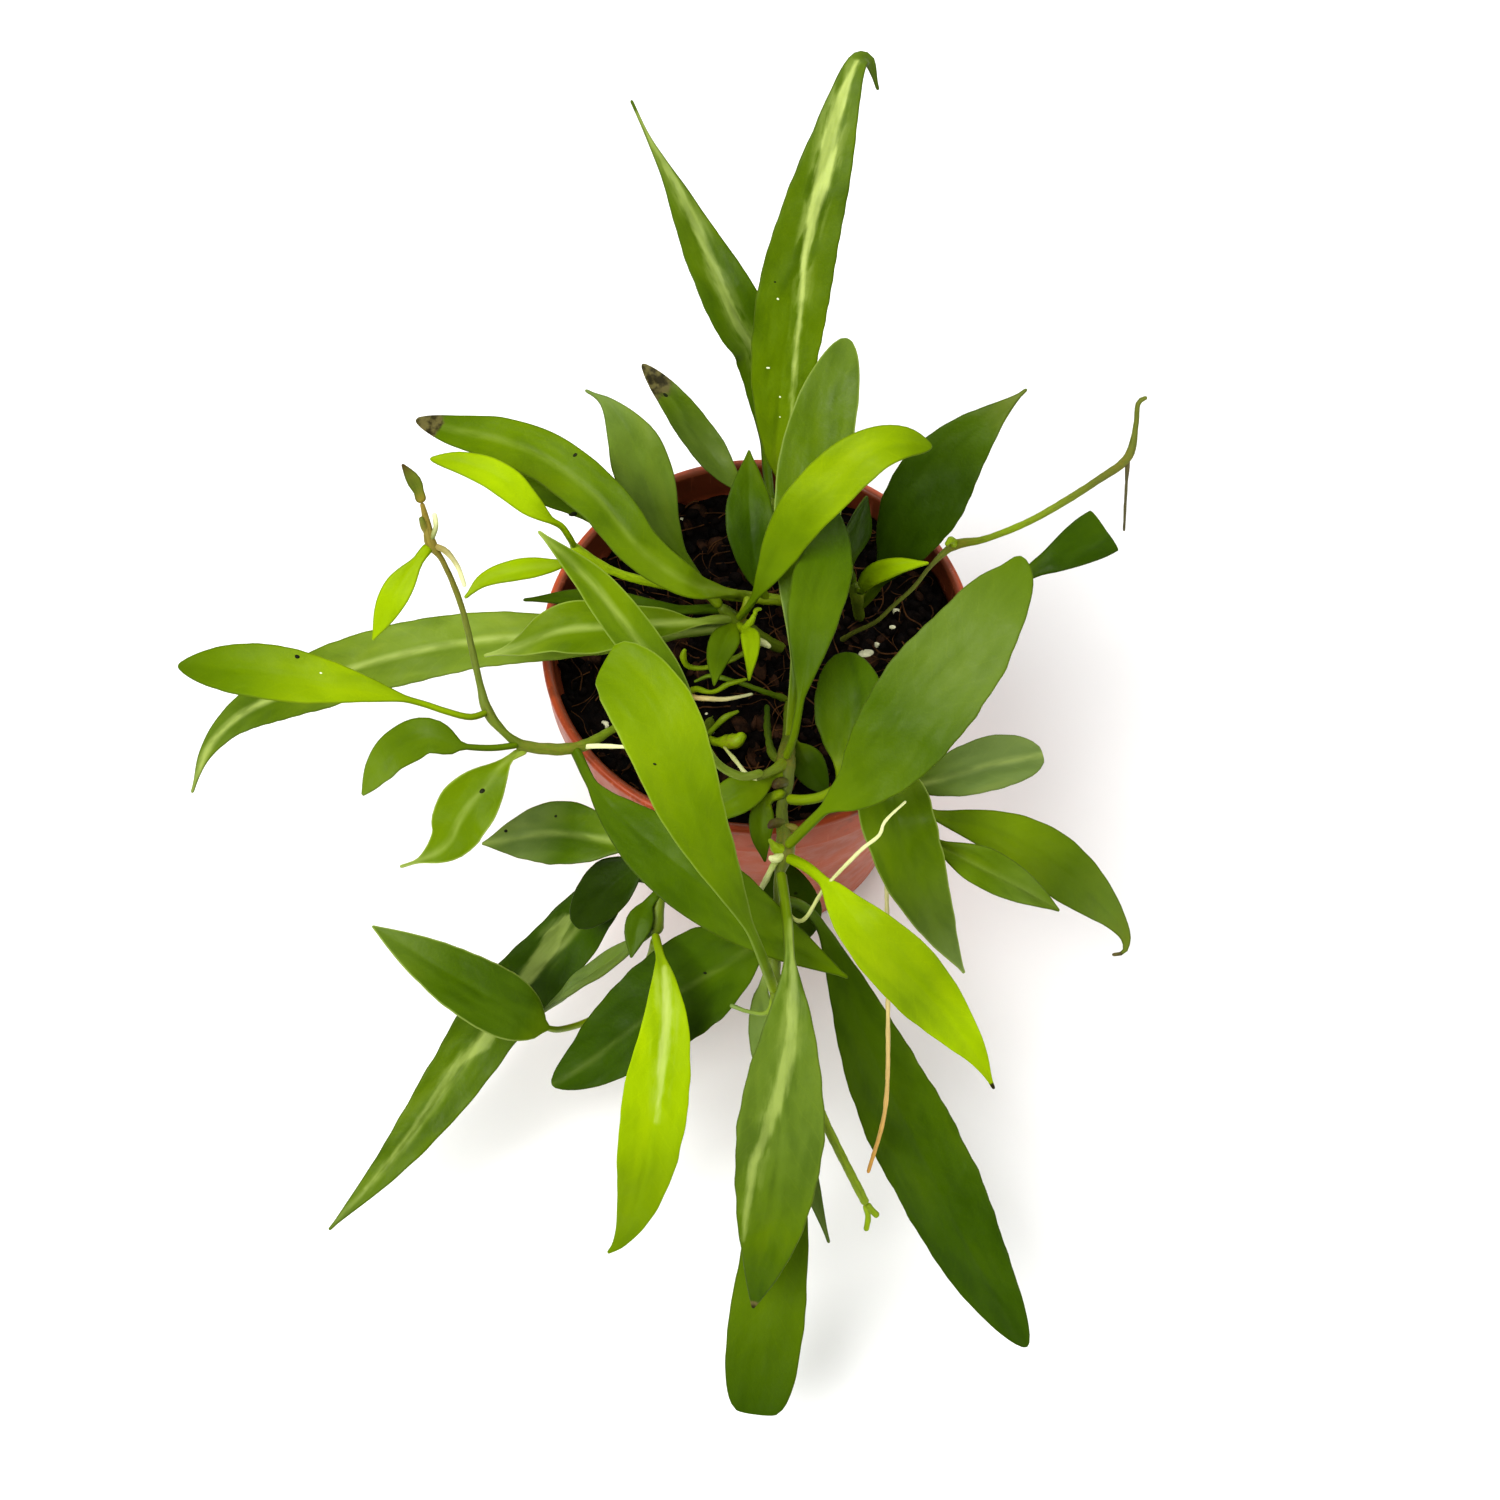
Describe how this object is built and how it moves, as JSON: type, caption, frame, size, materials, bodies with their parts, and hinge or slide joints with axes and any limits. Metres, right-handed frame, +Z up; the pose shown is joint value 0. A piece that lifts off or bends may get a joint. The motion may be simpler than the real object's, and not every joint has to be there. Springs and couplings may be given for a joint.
{
  "type": "potted hoya plant",
  "caption": "Young hoya with long narrow fleshy leaves that climb and trail from a small round tapered nursery pot filled with dark potting mix.",
  "frame": {"origin": "middle of the pot's underside, where it stands", "axes": "+Z up; the long front leaves trail over the rim towards -Y, the tallest leaf rises at +Y"},
  "size_m": [0.1971, 0.245, 0.1538],
  "materials": {
    "pot": "thin terracotta-coloured plastic, satin",
    "soil": "damp dark fibrous potting mix with bark and perlite",
    "stem": "olive green stem, slightly rough",
    "stem_brown": "older brown-green woody stem",
    "leaf_dark": "deep green fleshy leaf, satin gloss",
    "leaf_mid": "bright green fleshy leaf, satin gloss",
    "leaf_lime": "young yellow-green leaf, satin gloss",
    "leaf_grey": "grey-green leaf, pale sheen",
    "leaf_striped": "green leaf with a pale broken stripe along the midrib"
  },
  "bodies": {
    "root": {"pot": "pot", "soil": "soil", "stem_left": "stem", "stem_upper_left": "stem", "stem_centre": "stem", "stem_right_centre": "stem", "stem_right_bare": "stem_brown", "stem_front": "stem", "stem_right": "stem", "stem_front_left": "stem", "stem_back": "stem", "leaf_back_tall": "leaf_striped", "leaf_back_left_striped": "leaf_striped", "leaf_back_withered": "leaf_grey", "leaf_back_short": "leaf_dark", "leaf_back_broad_grey": "leaf_grey", "leaf_back_lime": "leaf_lime", "leaf_back_right_dark": "leaf_dark", "leaf_back_right_edge_on": "leaf_grey", "leaf_right_small_lime": "leaf_lime", "leaf_mid_bright": "leaf_mid", "leaf_mid_round_dark": "leaf_dark", "leaf_centre_small_bright": "leaf_mid", "leaf_centre_dark": "leaf_dark", "leaf_centre_narrow": "leaf_dark", "leaf_right_large": "leaf_mid", "leaf_far_right_dark": "leaf_dark", "leaf_right_rounded": "leaf_grey", "leaf_right_hooked": "leaf_mid", "leaf_right_folded": "leaf_dark", "leaf_right_front_dark": "leaf_dark", "leaf_front_yellow": "leaf_lime", "leaf_front_longest": "leaf_dark", "leaf_front_striped": "leaf_striped", "leaf_front_lowest": "leaf_mid", "leaf_front_narrow": "leaf_dark", "leaf_front_round_dark": "leaf_dark", "leaf_front_lime": "leaf_lime", "leaf_front_large_bright": "leaf_mid", "leaf_front_mid_dark": "leaf_dark", "leaf_left_slender": "leaf_dark", "leaf_left_long": "leaf_dark", "leaf_left_wavy": "leaf_dark", "leaf_left_sliver": "leaf_dark", "leaf_upper_left_big": "leaf_dark", "leaf_upper_left_under": "leaf_dark", "leaf_upper_left_lime": "leaf_lime", "leaf_upper_left_small_lime": "leaf_lime", "leaf_upper_bluish": "leaf_dark", "leaf_spray_lime": "leaf_lime", "leaf_far_left_lime": "leaf_lime", "leaf_left_curled": "leaf_mid", "leaf_left_wavy_small": "leaf_mid", "leaf_front_left_grey": "leaf_grey", "leaf_front_left_deep_green": "leaf_dark", "leaf_front_left_striped": "leaf_striped", "leaf_front_left_small": "leaf_dark", "leaf_front_left_edge_on": "leaf_grey", "leaf_front_left_glossy": "leaf_dark", "leaf_front_left_broad": "leaf_dark"}
  },
  "joints": []
}
